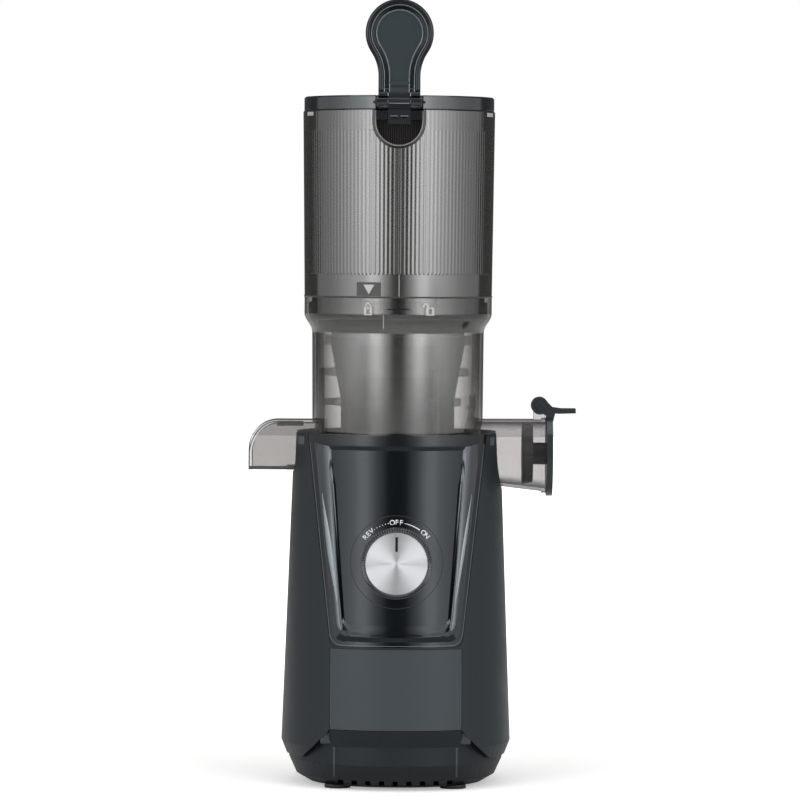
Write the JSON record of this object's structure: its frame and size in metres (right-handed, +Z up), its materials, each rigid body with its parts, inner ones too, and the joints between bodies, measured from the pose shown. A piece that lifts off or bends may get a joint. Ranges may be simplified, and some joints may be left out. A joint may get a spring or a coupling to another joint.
{
  "type": "cold press juicer",
  "caption": "Vertical cold press juicer: motor base with rotary knob, smoky bowl with pulp chute and juice spout, wide hopper, latched lid.",
  "frame": {"origin": "on the table, under the drive axis", "axes": "+X to the juice spout, -Y to the front with the knob, +Z up along the drive axis"},
  "size_m": [0.2282, 0.1883, 0.5441],
  "materials": {
    "satin_housing": "satin moulded ABS, anthracite",
    "gloss_panel": "high gloss ABS, near black",
    "plate": "satin moulded ABS, grey",
    "deck": "gloss ABS",
    "foot": "satin moulded ABS, dark",
    "rubber": "moulded rubber",
    "steel": "ground steel",
    "motor_steel": "drawn steel can",
    "gear_case": "glass filled nylon",
    "switch_plastic": "moulded nylon",
    "board": "glass epoxy board",
    "dark_parts": "moulded parts",
    "knob_plastic": "knurled ABS",
    "spun_aluminium": "radially spun aluminium",
    "smoky": "smoky clear copolyester",
    "silicone": "moulded silicone",
    "strainer_resin": "grey moulded resin",
    "gear_plastic": "acetal",
    "auger_resin": "dark moulded resin",
    "lid_plastic": "gloss ABS, anthracite",
    "lever_plastic": "satin ABS, anthracite",
    "stopper_plastic": "gloss ABS, dark grey"
  },
  "bodies": {
    "base": {"housing_shell": "satin_housing", "front_panel": "gloss_panel", "front_plate": "plate", "top_deck": "deck", "bowl_well": "deck", "bottom_cover": "foot", "rubber_feet": "rubber", "case_screws": "steel", "motor": "motor_steel", "motor_dampers": "rubber", "gearbox": "gear_case", "gearbox_screws": "steel", "shaft_bearing": "steel", "shaft_seal": "rubber", "rotary_switch": "switch_plastic", "switch_nut": "steel", "control_board": "board", "board_parts": "dark_parts", "safety_switch": "dark_parts", "cord_inlet": "rubber"},
    "drive_shaft": {"drive_shaft": "steel"},
    "knob": {"knob_body": "knob_plastic", "knob_face": "spun_aluminium", "switch_shaft": "steel"},
    "bowl": {"bowl": "smoky", "pulp_chute": "smoky", "juice_spout": "smoky", "bowl_seal": "silicone", "strainer": "strainer_resin", "idler_pin": "steel", "stopper_pin": "steel"},
    "idler": {"idler_gear": "gear_plastic"},
    "brush": {"cage_gear": "strainer_resin", "brush_cage": "strainer_resin", "wiper_blades": "silicone"},
    "auger": {"auger": "auger_resin", "auger_bush": "steel"},
    "stopper": {"stopper_lever": "stopper_plastic", "plug_seal": "silicone"},
    "hopper": {"hopper": "smoky", "hopper_skirt": "smoky", "finger_recess": "smoky", "fluted_wall": "smoky", "hopper_floor": "smoky", "hopper_seal": "silicone", "hinge_bracket": "lid_plastic", "lid_hinge_pin": "steel"},
    "lid": {"lid": "lid_plastic", "lid_seal": "silicone", "lever_pin": "steel", "latch_spring": "steel"},
    "lever": {"latch_lever": "lever_plastic"}
  },
  "joints": [
    {"name": "knob_turn", "type": "hinge", "parent": "base", "child": "knob", "pos_m": [0, -0.08, 0.158], "axis": [0, 1, 0], "range_deg": [-45, 45]},
    {"name": "bowl_lift", "type": "slide", "parent": "base", "child": "bowl", "axis": [0, 0, 1], "range_m": [0, 0.06]},
    {"name": "drive_spin", "type": "hinge", "parent": "base", "child": "drive_shaft", "pos_m": [0, 0, 0.19], "axis": [0, 0, 1], "continuous": true},
    {"name": "auger_spin", "type": "hinge", "parent": "bowl", "child": "auger", "pos_m": [0, 0, 0.24], "axis": [0, 0, 1], "continuous": true},
    {"name": "idler_spin", "type": "hinge", "parent": "bowl", "child": "idler", "pos_m": [0, 0.026, 0.207], "axis": [0, 0, 1], "continuous": true},
    {"name": "brush_spin", "type": "hinge", "parent": "bowl", "child": "brush", "pos_m": [0, 0, 0.24], "axis": [0, 0, 1], "continuous": true},
    {"name": "stopper_open", "type": "hinge", "parent": "bowl", "child": "stopper", "pos_m": [0.0995, 0, 0.2637], "axis": [0, -1, 0], "range_deg": [0, 95]},
    {"name": "hopper_twist", "type": "hinge", "parent": "bowl", "child": "hopper", "pos_m": [0, 0, 0.34], "axis": [0, 0, 1], "range_deg": [0, 36]},
    {"name": "lid_open", "type": "hinge", "parent": "hopper", "child": "lid", "pos_m": [0, 0.073, 0.4721], "axis": [-1, 0, 0], "range_deg": [0, 100]},
    {"name": "lever_tip", "type": "hinge", "parent": "lid", "child": "lever", "pos_m": [0, -0.0656, 0.4735], "axis": [-1, 0, 0], "range_deg": [0, 12], "stiffness_Nm_per_rad": 0.6, "springref_deg": -8.59}
  ],
  "couplings": [
    {"joint": "drive_spin", "follows": "auger_spin", "ratio": 1},
    {"joint": "idler_spin", "follows": "auger_spin", "ratio": -0.85714},
    {"joint": "brush_spin", "follows": "auger_spin", "ratio": -0.3}
  ]
}
